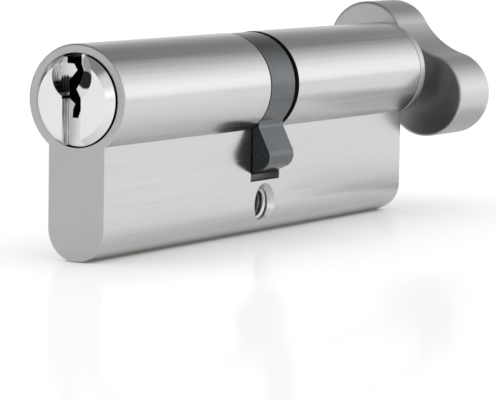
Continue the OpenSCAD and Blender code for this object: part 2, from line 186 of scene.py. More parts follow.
class SurfaceGroups:
    """Shared node groups: the grains, which put out a mask and a height from 0 to 1, and the edge wear with
    its painted highlight.
    """

    # Repeats of each pattern per metre along X, Y and Z
    BRUSH_STREAKS = (5200.0, 45.0, 5200.0)
    BRUSH_BANDS = (900.0, 14.0, 900.0)
    BLAST_GRAIN = (3600.0,) * 3
    BLAST_CLOUDS = (260.0,) * 3
    TURNED_RINGS = (7000.0, 7000.0, 1.0)
    TURNED_CLOUDS = (300.0,) * 3
    MILL_STREAKS = (2400.0, 4200.0, 130.0)
    WEAR_AND_HIGHLIGHT_SPOTS = (700.0,) * 3
    # Share of the finer pattern in each mask
    STREAK_SHARE = 0.6
    GRAIN_SHARE = 0.65
    RING_SHARE = 0.6
    # Agreement of the rounded and the plain normal, from a rubbed, highlighted edge to a plain face
    EDGE_BAND = (0.9, 0.99)
    # Noise between which the wear and painted highlight go from their least to their full cover
    WEAR_AND_HIGHLIGHT_BAND = (0.3, 0.65)
    WEAR_AND_HIGHLIGHT_COVER = (0.35, 1.0)

    def __init__(self) -> None:
        """Builds the groups once."""
        self.trees = {
            Grain.BRUSHED: self._group(Grain.BRUSHED, self._brushed),
            Grain.BLASTED: self._group(Grain.BLASTED, self._blasted),
            Grain.TURNED: self._group(Grain.TURNED, self._turned),
            Grain.MILLED: self._group(Grain.MILLED, self._milled),
        }
        self.wear_and_highlight = self._edge_wear_and_highlight()

    def _group(self, grain: Grain, fill: Any) -> bpy.types.NodeTree:
        """Makes one group.

        Args:
            grain: The kind of grain, which names the group.
            fill: Method that adds the nodes and returns the mask and the height.

        Returns:
            The finished node tree.
        """
        tree = bpy.data.node_groups.new(grain.value, "ShaderNodeTree")
        fineness = tree.interface.new_socket("Fineness", in_out="INPUT", socket_type="NodeSocketFloat")
        fineness.default_value = 1.0
        for name in ("Mask", "Height"):
            tree.interface.new_socket(name, in_out="OUTPUT", socket_type="NodeSocketFloat")
        graph = Graph(tree)
        entry = graph.add("NodeGroupInput")
        place = graph.add("ShaderNodeTexCoord").outputs["Object"]
        mask, height = fill(graph, place, entry.outputs["Fineness"])
        graph.add("NodeGroupOutput", {"Mask": mask, "Height": height})
        return tree

    def _edge_wear_and_highlight(self) -> bpy.types.NodeTree:
        """Makes the group that finds the rubbed edges of a piece, which also get a painted highlight.

        Returns:
            A tree that takes the normal of the rounded edges and puts out a mask of the rubbed, highlighted
            ones.
        """
        tree = bpy.data.node_groups.new("edge_wear_and_highlight", "ShaderNodeTree")
        tree.interface.new_socket("Rounded Normal", in_out="INPUT", socket_type="NodeSocketVector")
        tree.interface.new_socket("Mask", in_out="OUTPUT", socket_type="NodeSocketFloat")
        graph = Graph(tree)
        rounded = graph.add("NodeGroupInput").outputs["Rounded Normal"]
        flat = graph.add("ShaderNodeNewGeometry").outputs["Normal"]
        at_edge = graph.ramp(graph.vector("DOT_PRODUCT", rounded, flat), *self.EDGE_BAND, 1.0, 0.0)
        place = graph.add("ShaderNodeTexCoord").outputs["Object"]
        spots = graph.noise(self._scaled(graph, place, self.WEAR_AND_HIGHLIGHT_SPOTS, 1.0), detail=3.0)
        uneven = graph.ramp(spots, *self.WEAR_AND_HIGHLIGHT_BAND, *self.WEAR_AND_HIGHLIGHT_COVER)
        graph.add("NodeGroupOutput", {"Mask": graph.math("MULTIPLY", at_edge, uneven)})
        return tree

    @staticmethod
    def _scaled(graph: Graph, place: Any, per_metre: tuple[float, ...], fineness: Any) -> Socket:
        """Scales the coordinates of a pattern.

        Args:
            graph: Where the nodes go.
            place: Socket with the coordinates.
            per_metre: Repeats of the pattern per metre along X, Y and Z.
            fineness: Socket that makes all of them finer.

        Returns:
            The socket with the scaled coordinates.
        """
        inputs = {0: graph.vector("MULTIPLY", place, per_metre), "Scale": fineness}
        return graph.add("ShaderNodeVectorMath", inputs, operation="SCALE").outputs["Vector"]

    @staticmethod
    def _layered(graph: Graph, fine: Socket, broad: Socket, share: float) -> Socket:
        """Returns the socket with a fine pattern over a broad one."""
        layers = (graph.math("MULTIPLY", fine, share), graph.math("MULTIPLY", broad, 1.0 - share))
        return graph.math("ADD", *layers)

    def _brushed(self, graph: Graph, place: Any, fineness: Any) -> tuple[Any, Any]:
        """Adds fine streaks along Y with broader bands behind them.

        Args:
            graph: Where the nodes go.
            place: Socket with the coordinates.
            fineness: Socket that makes the pattern finer.

        Returns:
            Sockets with the mask and the height.
        """
        fine = self._scaled(graph, place, self.BRUSH_STREAKS, fineness)
        streaks = graph.noise(fine, detail=3.0, roughness=0.6)
        bands = graph.noise(self._scaled(graph, place, self.BRUSH_BANDS, fineness))
        return self._layered(graph, streaks, bands, self.STREAK_SHARE), streaks

    def _blasted(self, graph: Graph, place: Any, fineness: Any) -> tuple[Any, Any]:
        """Adds an even fine grain with faint clouds.

        Args:
            graph: Where the nodes go.
            place: Socket with the coordinates.
            fineness: Socket that makes the pattern finer.

        Returns:
            Sockets with the mask and the height.
        """
        fine = self._scaled(graph, place, self.BLAST_GRAIN, fineness)
        grain = graph.noise(fine, detail=3.0, roughness=0.6)
        clouds = graph.noise(self._scaled(graph, place, self.BLAST_CLOUDS, fineness))
        return self._layered(graph, grain, clouds, self.GRAIN_SHARE), grain

    def _turned(self, graph: Graph, place: Any, fineness: Any) -> tuple[Any, Any]:
        """Adds fine rings around the plug's axis, as a lathe leaves them.

        Args:
            graph: Where the nodes go.
            place: Socket with the coordinates.
            fineness: Socket that makes the pattern finer.

        Returns:
            Sockets with the mask and the height.
        """
        centred = graph.vector("SUBTRACT", place, (0.0, 0.0, PLUG_AXIS_Z))
        radius = graph.vector("LENGTH", graph.vector("MULTIPLY", centred, (1.0, 0.0, 1.0)))
        along = graph.add("ShaderNodeSeparateXYZ", {0: centred}).outputs["Y"]
        turned = graph.add("ShaderNodeCombineXYZ", {"X": radius, "Y": along}).outputs[0]
        rings = graph.noise(self._scaled(graph, turned, self.TURNED_RINGS, fineness))
        clouds = graph.noise(self._scaled(graph, place, self.TURNED_CLOUDS, fineness))
        return self._layered(graph, rings, clouds, self.RING_SHARE), rings

    def _milled(self, graph: Graph, place: Any, fineness: Any) -> tuple[Any, Any]:
        """Adds coarse streaks along Z, as an end mill leaves them, and returns the mask and the height."""
        streaks = graph.noise(self._scaled(graph, place, self.MILL_STREAKS, fineness), roughness=0.6)
        return streaks, streaks


class Region:
    """A share of a piece's surface that is told by its place."""

    def mask(self, graph: Graph) -> Socket:
        """Returns the socket that is 1 inside the region and 0 outside it."""
        raise NotImplementedError


@dataclass(frozen=True)
class KeyPocket(Region):
    """The round recess in the plug's face, the groove below it and the keyway."""

    face_y: float
    recess_z: float
    recess_r: float
    groove_half_width: float
    margin: float = 0.02 * MM

    def mask(self, graph: Graph) -> Socket:
        """Finds the walls and the floor of the pocket.

        Args:
            graph: Where the nodes go.

        Returns:
            The socket that is 1 on them and 0 elsewhere.
        """
        x, y, z = graph.place()
        below = graph.math("SUBTRACT", z, self.recess_z)
        in_recess = graph.math("LESS_THAN", graph.length(x, below), self.recess_r + self.margin)
        in_groove = graph.math(
            "MULTIPLY",
            graph.math("LESS_THAN", graph.math("ABSOLUTE", x), self.groove_half_width + self.margin),
            graph.math("LESS_THAN", below, 0.0),
        )
        behind = graph.math("GREATER_THAN", y, self.face_y + self.margin)
        return graph.math("MULTIPLY", graph.math("MAXIMUM", in_recess, in_groove), behind)


@dataclass(frozen=True)
class PaintedShadeCorner:
    """A spot of painted shade beside the keyway, placed from the plug's axis, that covers less along some
    strokes.
    """

    x: float
    z: float
    radius: float
    ragged: float
    least_cover: float
    most_cover: float = 1.0


@dataclass(frozen=True)
class KeywayDepths(Region):
    """Painted shade: the keyway behind the pocket's floor, drawn near black, and the dark spots beside it.
    """

    floor_y: float
    axis_z: float
    corners: tuple[PaintedShadeCorner, ...]
    softness: float = 0.35 * MM
    strokes_per_metre: float = 4200.0
    stroke_band: tuple[float, float] = (0.45, 0.65)

    def mask(self, graph: Graph) -> Socket:
        """Finds the keyway and the corners.

        Args:
            graph: Where the nodes go.

        Returns:
            The socket that is 1 in the keyway and fades at the corners' edges.
        """
        x, y, z = graph.place()
        dark = graph.math("GREATER_THAN", y, self.floor_y)
        across = graph.math("MULTIPLY", x, self.strokes_per_metre)
        strokes = graph.noise(graph.add("ShaderNodeCombineXYZ", {"X": across}).outputs[0])
        for corner in self.corners:
            cover = graph.ramp(strokes, *self.stroke_band, corner.most_cover, corner.least_cover)
            fringe = graph.math("MULTIPLY", graph.math("SUBTRACT", strokes, NOISE_MIDDLE), corner.ragged)
            across = graph.math("SUBTRACT", x, corner.x)
            away = graph.length(across, graph.math("SUBTRACT", z, self.axis_z + corner.z))
            edge = graph.math("ADD", away, fringe)
            spot = graph.ramp(edge, corner.radius - self.softness, corner.radius, cover, 0.0)
            dark = graph.math("MAXIMUM", dark, spot)
        return dark


@dataclass(frozen=True)
class HousingHollows(Region):
    """The slot across the head in which the cam turns, and the bores along the head."""

    slot_half_width: float
    slot_floor_z: float
    axis_z: float
    bore_r: float
    end_y: float

    def mask(self, graph: Graph) -> Socket:
        """Finds the walls of the slot and of the bores.

        Args:
            graph: Where the nodes go.

        Returns:
            The socket that is 1 on them and 0 elsewhere.
        """
        x, y, z = graph.place()
        lengthwise = graph.math("ABSOLUTE", y)
        in_slot = graph.math(
            "MULTIPLY",
            graph.math("LESS_THAN", lengthwise, self.slot_half_width),
            graph.math("GREATER_THAN", z, self.slot_floor_z),
        )
        in_bore = graph.math(
            "MULTIPLY",
            graph.math("LESS_THAN", graph.length(x, graph.math("SUBTRACT", z, self.axis_z)), self.bore_r),
            graph.math("LESS_THAN", lengthwise, self.end_y),
        )
        return graph.math("MAXIMUM", in_slot, in_bore)


@dataclass(frozen=True)
class CamFrontRim(Region):
    """A band of painted shade on the cam's ring, beside the gap in front of it."""

    front_y: float
    axis_z: float
    ring_r: float
    width: float
    margin: float = 0.06 * MM

    def mask(self, graph: Graph) -> Socket:
        """Finds the ring's outside next to its front edge.

        Args:
            graph: Where the nodes go.

        Returns:
            The socket that is 1 there and fades along the ring.
        """
        x, y, z = graph.place()
        radius = graph.length(x, graph.math("SUBTRACT", z, self.axis_z))
        off_ring = graph.math("ABSOLUTE", graph.math("SUBTRACT", radius, self.ring_r))
        at_front = graph.ramp(y, self.front_y + self.width / 2, self.front_y + self.width, 1.0, 0.0)
        return graph.math("MULTIPLY", graph.math("LESS_THAN", off_ring, self.margin), at_front)


@dataclass(frozen=True)
class PaintedInset:
    """A region whose colour carries painted shade or painted light, with the streaks of the cutter on its
    walls and a gloss of its own.
    """

    region: Region
    shade: float
    streak_shade: float
    roughness: float
    # The dark region gets near-black painted shade
    dark_region: Region | None = None
    dark_shade: float = 0.03


# Parts of a mask over which the gloss, the shade and the cutter's streaks change
GLOSS_BAND = (0.3, 0.7)
SHADE_BAND = (0.25, 0.75)
STREAK_BAND = (0.4, 0.56)
# How squarely a face lies across the length, from a side to an end
END_BAND = (0.75, 0.95)
EDGE_SAMPLES = 6


@dataclass(frozen=True)
class Metal:
    """A metal finish: its colour, its gloss, how it was worked, and the painted shade and painted light
    laid into its colour.
    """

    name: str
    colour: tuple[float, float, float]
    roughness: float
    grain: Grain
    fineness: float = 1.0
    shade_spread: float = 0.06
    gloss_spread: float = 0.06
    grain_depth: float = 0.004 * MM
    edge_radius: float = 0.08 * MM
    soft_edges: tuple[float, float] | None = None
    wear_and_highlight_shade: float = 1.25
    wear_polish: float = 0.06
    end_roughness: float | None = None
    end_painted_shade: float = 1.0
    painted_inset: PaintedInset | None = None

    def shade(self, factor: float) -> tuple[float, float, float, float]:
        """Returns the colour, made lighter or darker by a factor."""
        red, green, blue = (min(1.0, channel * factor) for channel in self.colour)
        return red, green, blue, 1.0

    def material(self, groups: SurfaceGroups) -> bpy.types.Material:
        """Builds the finish as a material.

        Args:
            groups: The shared node groups.

        Returns:
            The new material.
        """
        material = bpy.data.materials.new(self.name)
        material.use_nodes = True
        graph = Graph(material.node_tree)
        mask, height = self._worked(graph, groups, self.grain)
        gloss = self._gloss(graph, mask, self.roughness)
        if self.end_roughness is not None:
            mask, height, gloss = self._with_ends(graph, groups, mask, height, gloss)
        darkest, lightest = self.shade(1.0 - self.shade_spread), self.shade(1.0 + self.shade_spread)
        colour = graph.blend(graph.ramp(mask, *SHADE_BAND), darkest, lightest)
        # Painted shade: faces across the length drawn darker than the sides
        if self.end_painted_shade != 1.0:
            colour = graph.blend(self._at_end(graph), colour, self.shade(self.end_painted_shade))
        edge = graph.add("ShaderNodeBevel", {"Radius": self._rounding(graph)}, samples=EDGE_SAMPLES)
        rounded = {"Rounded Normal": edge.outputs[0]}
        wear_and_highlight = graph.add("ShaderNodeGroup", rounded, node_tree=groups.wear_and_highlight).outputs["Mask"]
        # Edges drawn lighter: partly rubbed wear, partly a painted highlight
        colour = graph.blend(wear_and_highlight, colour, self.shade(self.wear_and_highlight_shade))
        gloss = graph.math("SUBTRACT", gloss, graph.math("MULTIPLY", wear_and_highlight, self.wear_polish))
        if self.painted_inset is not None:
            colour, gloss = self._with_painted_inset(graph, groups, colour, gloss)
        relief = graph.add(
            "ShaderNodeBump",
            {"Height": height, "Strength": 1.0, "Distance": self.grain_depth, "Normal": edge.outputs[0]},
        )
        shader = graph.add(
            "ShaderNodeBsdfPrincipled",
            {"Base Color": colour, "Roughness": gloss, "Metallic": 1.0, "Normal": relief.outputs[0]},
        )
        graph.add("ShaderNodeOutputMaterial", {"Surface": shader.outputs[0]})
        return material

    def _gloss(self, graph: Graph, mask: Any, roughness: float) -> Socket:
        """Returns the socket with a roughness that the grain's mask spreads."""
        return graph.ramp(mask, *GLOSS_BAND, roughness - self.gloss_spread, roughness + self.gloss_spread)

    def _rounding(self, graph: Graph) -> Any:
        """Finds the radius of the edges, which grows past a place along Y where soft_edges gives one.

        Args:
            graph: Where the nodes go.

        Returns:
            The radius, or the socket with it.
        """
        if self.soft_edges is None:
            return self.edge_radius
        start, radius = self.soft_edges
        along = graph.place()[1]
        return graph.ramp(along, start, start + self.edge_radius, self.edge_radius, radius)

    def _worked(self, graph: Graph, groups: SurfaceGroups, grain: Grain) -> tuple[Any, Any]:
        """Places a grain group in the material.

        Args:
            graph: Where the nodes go.
            groups: The shared node groups.
            grain: The kind of grain.

        Returns:
            Sockets with the mask and the height.
        """
        node = graph.add("ShaderNodeGroup", node_tree=groups.trees[grain])
        node.inputs["Fineness"].default_value = self.fineness
        return node.outputs["Mask"], node.outputs["Height"]

    def _with_ends(
        self, graph: Graph, groups: SurfaceGroups, mask: Any, height: Any, gloss: Any
    ) -> tuple[Any, Any, Any]:
        """Gives faces across the length a blasted grain of their own.

        Args:
            graph: Where the nodes go.
            groups: The shared node groups.
            mask: Mask of the sides.
            height: Height of the sides.
            gloss: Roughness of the sides.

        Returns:
            Mask, height and roughness over sides and ends.
        """
        end_mask, end_height = self._worked(graph, groups, Grain.BLASTED)
        at_end = self._at_end(graph)

        def over(side: Any, end: Any) -> Any:
            """Returns the side's value, or the end's where the surface lies across."""
            return graph.ramp(at_end, 0.0, 1.0, side, end)

        end_gloss = self._gloss(graph, end_mask, self.end_roughness)
        return over(mask, end_mask), over(height, end_height), over(gloss, end_gloss)

    @staticmethod
    def _at_end(graph: Graph) -> Socket:
        """Finds the faces that lie across the length.

        Args:
            graph: Where the nodes go.

        Returns:
            The socket that is 1 on them and 0 on the sides.
        """
        normal = graph.add("ShaderNodeTexCoord").outputs["Normal"]
        lengthwise = graph.add("ShaderNodeSeparateXYZ", {0: normal}).outputs["Y"]
        return graph.ramp(graph.math("ABSOLUTE", lengthwise), *END_BAND)

    def _with_painted_inset(self, graph: Graph, groups: SurfaceGroups, colour: Any, gloss: Any) -> tuple[Any, Any]:
        """Gives the region its painted shade or painted light, the cutter's streaks and its own gloss.

        Args:
            graph: Where the nodes go.
            groups: The shared node groups.
            colour: Colour of the rest.
            gloss: Roughness of the rest.

        Returns:
            Colour and roughness over the whole piece.
        """
        inside = self.painted_inset.region.mask(graph)
        streaks, _ = self._worked(graph, groups, Grain.MILLED)
        plain = graph.math("MAXIMUM", graph.ramp(streaks, *STREAK_BAND), self._at_end(graph))
        painted_colour = graph.blend(plain, self.shade(self.painted_inset.streak_shade), self.shade(self.painted_inset.shade))
        if self.painted_inset.dark_region is not None:
            dark = self.painted_inset.dark_region.mask(graph)
            painted_colour = graph.blend(dark, painted_colour, self.shade(self.painted_inset.dark_shade))
        return graph.blend(inside, colour, painted_colour), graph.ramp(inside, 0.0, 1.0, gloss, self.painted_inset.roughness)


# Painted light: the pocket's walls and floor drawn lighter than the plug's face, with dark cutter streaks
# on the walls
KEY_POCKET = PaintedInset(
    KeyPocket(PLUG_FACE_Y, recess_z=PLUG_AXIS_Z + 3.7 * MM, recess_r=3.5 * MM, groove_half_width=1.65 * MM),
    shade=1.25, streak_shade=0.2, roughness=0.5,
    # Painted shade: the keyway drawn near black, with dark spots in the recess beside it
    dark_region=KeywayDepths(
        floor_y=PLUG_FACE_Y + 2.15 * MM, axis_z=PLUG_AXIS_Z,
        corners=(
            PaintedShadeCorner(x=-2.2 * MM, z=2.3 * MM, radius=1.5 * MM, ragged=1.6 * MM, least_cover=0.9),
            PaintedShadeCorner(x=1.1 * MM, z=3.1 * MM, radius=1.55 * MM, ragged=0.5 * MM, least_cover=0.97),
            PaintedShadeCorner(x=2.3 * MM, z=5.7 * MM, radius=1.9 * MM, ragged=0.5 * MM, least_cover=0.5, most_cover=0.6),
        ),
    ),
)
# Painted shade: the cam slot and the bores drawn near black
HOUSING_HOLLOWS = PaintedInset(
    HousingHollows(
        slot_half_width=4.81 * MM, slot_floor_z=PLUG_AXIS_Z - 12.5 * MM,
        axis_z=PLUG_AXIS_Z, bore_r=7.3 * MM, end_y=49.97 * MM,
    ),
    shade=0.12, streak_shade=0.08, roughness=0.5,
)
# Painted shade: a dark line on the cam's ring along the gap in front of it
CAM_RIM = PaintedInset(
    CamFrontRim(front_y=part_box("cam")[0].y, axis_z=PLUG_AXIS_Z, ring_r=8.4 * MM, width=0.4 * MM),
    shade=0.12, streak_shade=0.12, roughness=0.5,
)


class Finish(Enum):
    """The finishes of the object."""

    SATIN_NICKEL = Metal(
        "satin_nickel", (0.565, 0.565, 0.56), 0.21, Grain.BRUSHED, end_roughness=0.42, end_painted_shade=0.87,
        painted_inset=HOUSING_HOLLOWS,
    )
    KNOB_NICKEL = Metal(
        "knob_nickel", (0.55, 0.55, 0.545), 0.36, Grain.BRUSHED, shade_spread=0.03, gloss_spread=0.03,
        grain_depth=0.001 * MM, end_roughness=0.36, end_painted_shade=0.82, edge_radius=0.03 * MM,
        soft_edges=(56.5 * MM, 0.55 * MM), wear_and_highlight_shade=1.0,
    )
    BRIGHT_NICKEL = Metal(
        "bright_nickel", (0.75, 0.75, 0.745), 0.1, Grain.BLASTED, gloss_spread=0.03, grain_depth=0.001 * MM,
        shade_spread=0.03, painted_inset=KEY_POCKET,
    )
    SPINDLE_NICKEL = Metal("spindle_nickel", (0.56, 0.56, 0.55), 0.25, Grain.TURNED)
    CAM_STEEL = Metal(
        "cam_steel", (0.11, 0.12, 0.127), 0.24, Grain.BLASTED, shade_spread=0.16,
        end_roughness=0.3, end_painted_shade=0.36, painted_inset=CAM_RIM,
    )
    PIN_BRASS = Metal("pin_brass", (0.72, 0.52, 0.22), 0.26, Grain.TURNED)
    SPRING_STEEL = Metal("spring_steel", (0.45, 0.46, 0.48), 0.24, Grain.BLASTED)
    DARK_STEEL = Metal("dark_steel", (0.1, 0.1, 0.11), 0.38, Grain.BLASTED)


class Finishes:
    """Builds each finish once and lends it to the pieces."""

    def __init__(self) -> None:
        """Builds the shared groups."""
        self.groups = SurfaceGroups()
        self.made: dict[Finish, bpy.types.Material] = {}

    def get(self, finish: Finish) -> bpy.types.Material:
        """Looks up a finish and builds it at its first use.

        Args:
            finish: The finish.

        Returns:
            Its material.
        """
        if finish not in self.made:
            self.made[finish] = finish.value.material(self.groups)
        return self.made[finish]

    def dress(self, piece: bpy.types.Object, finish: Finish) -> None:
        """Puts a finish in all of a piece's material slots.

        Args:
            piece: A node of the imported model, or a new piece.
            finish: The finish that it gets.
        """
        if not piece.material_slots:
            piece.data.materials.append(None)
        for slot in piece.material_slots:
            slot.material = self.get(finish)
        LOG.info("%s dressed in %s", piece.name, finish.value.name)

    def dress_nodes(self, finish: Finish, *names: str) -> None:
        """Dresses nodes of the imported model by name."""
        for name in names:
            self.dress(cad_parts[name], finish)


@dataclass
class Housing:
    """The profile body, the brass plugs that close its pin chambers and the fixing thread."""

    finishes: Finishes
    thread_pitch: float = 0.8 * MM
    thread_outer_r: float = 2.52 * MM
    thread_inner_r: float = 2.07 * MM
    thread_half_length: float = 3.7 * MM
    thread_crest_share: float = 1 / 8
    thread_root_share: float = 7 / 16
    thread_steps: int = 48

    def build(self) -> None:
        """Dresses the body and cuts the thread."""
        self.finishes.dress_nodes(Finish.SATIN_NICKEL, "cylinder_body")
        self.finishes.dress_nodes(Finish.PIN_BRASS, *(f"chamber_plug_{i}" for i in PIN_NUMBERS))
        thread = self._thread()
        self.finishes.dress(thread, Finish.SATIN_NICKEL)
        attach(thread, "housing")

    def _thread(self) -> bpy.types.Object:
        """Models the turns of the thread in the fixing hole.

        Returns:
            The thread, as one ridge that runs round the hole.
        """
        turns = int(2 * self.thread_half_length / self.thread_pitch)
        crest = self.thread_pitch * self.thread_crest_share
        root = self.thread_pitch * self.thread_root_share
        start = -turns * self.thread_pitch / 2
        ridge = new_plane("fixing_thread")
        corners = [
            (-root, self.thread_outer_r), (root, self.thread_outer_r),
            (-crest, self.thread_inner_r), (crest, self.thread_inner_r),
        ]
        for vertex, (along, radius) in zip(ridge.data.vertices, corners):
            vertex.co = (start + along, 0.0, radius)
        wind(ridge, "X", self.thread_pitch, turns, self.thread_steps)
        close_and_smooth(ridge)
        return ridge


@dataclass(frozen=True)
class CoilSpring:
    """A round-wire spring with closed ends, at the size of the plain solid that it stands for."""

    wire_d: float
    turns: int = 8
    closed_pitch: float = 1.1
    steps: int = 32
    wire_sides: int = 12

    def model(self, name: str, mean_r: float, length: float) -> bpy.types.Object:
        """Winds the spring upwards from the origin.

        Args:
            name: The spring's name.
            mean_r: Radius of the wire's middle.
            length: Length over both ends.

        Returns:
            The spring, with its axis along Z.
        """
        wire_r = self.wire_d / 2
        bpy.ops.object.select_all(action="DESELECT")
        bpy.ops.mesh.primitive_circle_add(
            vertices=self.wire_sides, radius=wire_r, fill_type="NGON",
            location=(mean_r, 0.0, wire_r), rotation=(math.pi / 2, 0.0, 0.0),
        )
        coil = bpy.context.object
        coil.name = coil.data.name = name
        bpy.ops.object.transform_apply(location=True, rotation=True, scale=True)
        pitch = (length - self.wire_d) / self.turns
        wind(coil, "Z", pitch, self.turns, self.steps)
        for vertex in coil.data.vertices:
            turn = vertex.index // self.wire_sides / self.steps
            vertex.co.z += self._height(turn, length) - pitch * turn
        close_and_smooth(coil)
        return coil

    def _height(self, turn: float, length: float) -> float:
        """Finds how far the wire's middle has risen.

        Args:
            turn: Turns from the start.
            length: Length over both ends.

        Returns:
            The rise.
        """
        closed, span = self.closed_pitch * self.wire_d, length - self.wire_d
        if turn < 1:
            return closed * turn
        if turn > self.turns - 1:
            return span - closed * (self.turns - turn)
        return closed + (span - 2 * closed) / (self.turns - 2) * (turn - 1)


@dataclass(frozen=True)
class SpringSeat:
    """Where a spring sits: the solid that it stands for, its body and the joint that presses it."""

    node: str
    body: str
    joint: str
    axis: Vector
    held_high: bool

    def install(self, coil: bpy.types.Object, finishes: Finishes) -> None:
        """Puts a spring in the place of its plain solid.

        Args:
            coil: The spring, in its place.
            finishes: The finishes of the object.
        """
        finishes.dress(coil, Finish.SPRING_STEEL)
        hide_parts(self.node)
        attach(coil, self.body)
        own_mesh(coil)


@dataclass
class KeySide:
    """The key plug with its clip, and the six pin stacks."""

    finishes: Finishes
    spring: CoilSpring = CoilSpring(wire_d=0.34 * MM)

    def build(self) -> None:
        """Dresses the plug, the clip and the pins, and winds the pin springs."""
        self.finishes.dress_nodes(Finish.BRIGHT_NICKEL, "key_plug")
        self.finishes.dress_nodes(Finish.DARK_STEEL, "plug_circlip")
        for i in PIN_NUMBERS:
            self.finishes.dress_nodes(Finish.PIN_BRASS, f"key_pin_{i}", f"driver_pin_{i}")
        self._springs()

    def _springs(self) -> None:
        """Winds one spring and copies it into every chamber."""
        low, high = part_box("pin_spring_1")
        first = self.spring.model("pin_coil_1", (high.x - low.x - self.spring.wire_d) / 2, high.z - low.z)
        coils = [first]
        for i in PIN_NUMBERS[1:]:
            pick(first)
            bpy.ops.object.duplicate()
            coils.append(bpy.context.object)
            coils[-1].name = coils[-1].data.name = f"pin_coil_{i}"
        for i, coil in zip(PIN_NUMBERS, coils):
            low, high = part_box(f"pin_spring_{i}")
            coil.data.transform(Matrix.Translation(((low.x + high.x) / 2, (low.y + high.y) / 2, low.z)))
            seat = SpringSeat(
                f"pin_spring_{i}", "housing", f"driver_pin_{i}_press", UPWARDS, held_high=False
            )
            seat.install(coil, self.finishes)


@dataclass
class CamDrive:
    """The cam and the two clutch bars with their spring."""

    finishes: Finishes
    spring: CoilSpring = CoilSpring(wire_d=0.4 * MM)

    def build(self) -> None:
        """Dresses the cam and the clutch, and winds the clutch spring."""
        self.finishes.dress_nodes(Finish.CAM_STEEL, "cam", "key_side_clutch", "knob_side_clutch")
        low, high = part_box("clutch_spring")
        coil = self.spring.model("clutch_coil", (high.x - low.x - self.spring.wire_d) / 2, high.y - low.y)
        along_y = Matrix.Rotation(-math.pi / 2, 4, "X")
        coil.data.transform(Matrix.Translation(((low.x + high.x) / 2, low.y, PLUG_AXIS_Z)) @ along_y)
        seat = SpringSeat(
            "clutch_spring", "thumbturn", "knob_side_clutch_shift", TOWARDS_KNOB, held_high=True
        )
        seat.install(coil, self.finishes)


@dataclass
class Thumbturn:
    """The knob with its grub screw, on the spindle with its clip."""

    finishes: Finishes

    def build(self) -> None:
        """Dresses the knob and the spindle."""
        self.finishes.dress_nodes(Finish.KNOB_NICKEL, "thumbturn_knob")
        self.finishes.dress_nodes(Finish.SPINDLE_NICKEL, "knob_spindle")
        self.finishes.dress_nodes(Finish.DARK_STEEL, "spindle_circlip", "knob_grub_screw")


def new_plane(name: str) -> bpy.types.Object:
    """Adds a plane of four corners as the start of a piece.

    Args:
        name: The piece's name.

    Returns:
        The new object, the only one selected.
    """
    bpy.ops.object.select_all(action="DESELECT")
    bpy.ops.mesh.primitive_plane_add()
    piece = bpy.context.object
    piece.name = piece.data.name = name
    return piece


def pick(piece: bpy.types.Object) -> None:
    """Selects one piece alone and makes it the active one.

    Args:
        piece: The piece to work on.
    """
    bpy.ops.object.select_all(action="DESELECT")
    piece.select_set(True)
    bpy.context.view_layer.objects.active = piece


def wind(section: bpy.types.Object, axis: str, pitch: float, turns: int, steps: int) -> None:
    """Turns a flat section into a helix and applies it; the section's own face is dropped.

    Args:
        section: The section, drawn in a plane through the axis.
        axis: Letter of the axis that it winds around.
        pitch: Rise of one turn.
        turns: Number of turns.
        steps: Rings of points in one turn.
    """
    pick(section)
    bpy.ops.object.mode_set(mode="EDIT")
    bpy.ops.mesh.select_all(action="SELECT")
    bpy.ops.mesh.delete(type="ONLY_FACE")
    bpy.ops.object.mode_set(mode="OBJECT")
    screw = section.modifiers.new("turns", "SCREW")
    screw.axis = axis
    screw.angle = math.tau
    screw.screw_offset = pitch
    screw.iterations = turns
    screw.steps = screw.render_steps = steps
    bpy.ops.object.modifier_apply(modifier=screw.name)


def close_and_smooth(piece: bpy.types.Object, sharp_angle: float = 40.0) -> None:
    """Merges a piece's doubles, caps its open ends, turns its faces outwards and smooths it.

    Args:
        piece: The piece, made of one mesh.
        sharp_angle: Edges above this many degrees stay sharp.
    """
    pick(piece)
    bpy.ops.object.mode_set(mode="EDIT")
    bpy.ops.mesh.select_all(action="SELECT")
    bpy.ops.mesh.remove_doubles(threshold=MERGE_DISTANCE)
    bpy.ops.mesh.select_all(action="DESELECT")
    bpy.ops.mesh.select_mode(type="EDGE")
    bpy.ops.mesh.select_non_manifold(extend=False, use_wire=False, use_multi_face=False)
    bpy.ops.mesh.fill()
    bpy.ops.mesh.select_all(action="SELECT")
    bpy.ops.mesh.normals_make_consistent(inside=False)
    bpy.ops.object.mode_set(mode="OBJECT")
    bpy.ops.object.shade_smooth_by_angle(angle=math.radians(sharp_angle))


@dataclass(frozen=True)
class LightPatch:
    """A soft bright patch on the studio's dome, which only reflections show."""

    azimuth: float
    elevation: float
    inner: float
    outer: float
    strength: float

    def direction(self) -> Vector:
        """Returns the unit vector towards the patch; azimuth 0 is +Y and 90 is +X."""
        turn, rise = math.radians(self.azimuth), math.radians(self.elevation)
        return Vector((math.sin(turn) * math.cos(rise), math.cos(turn) * math.cos(rise), math.sin(rise)))


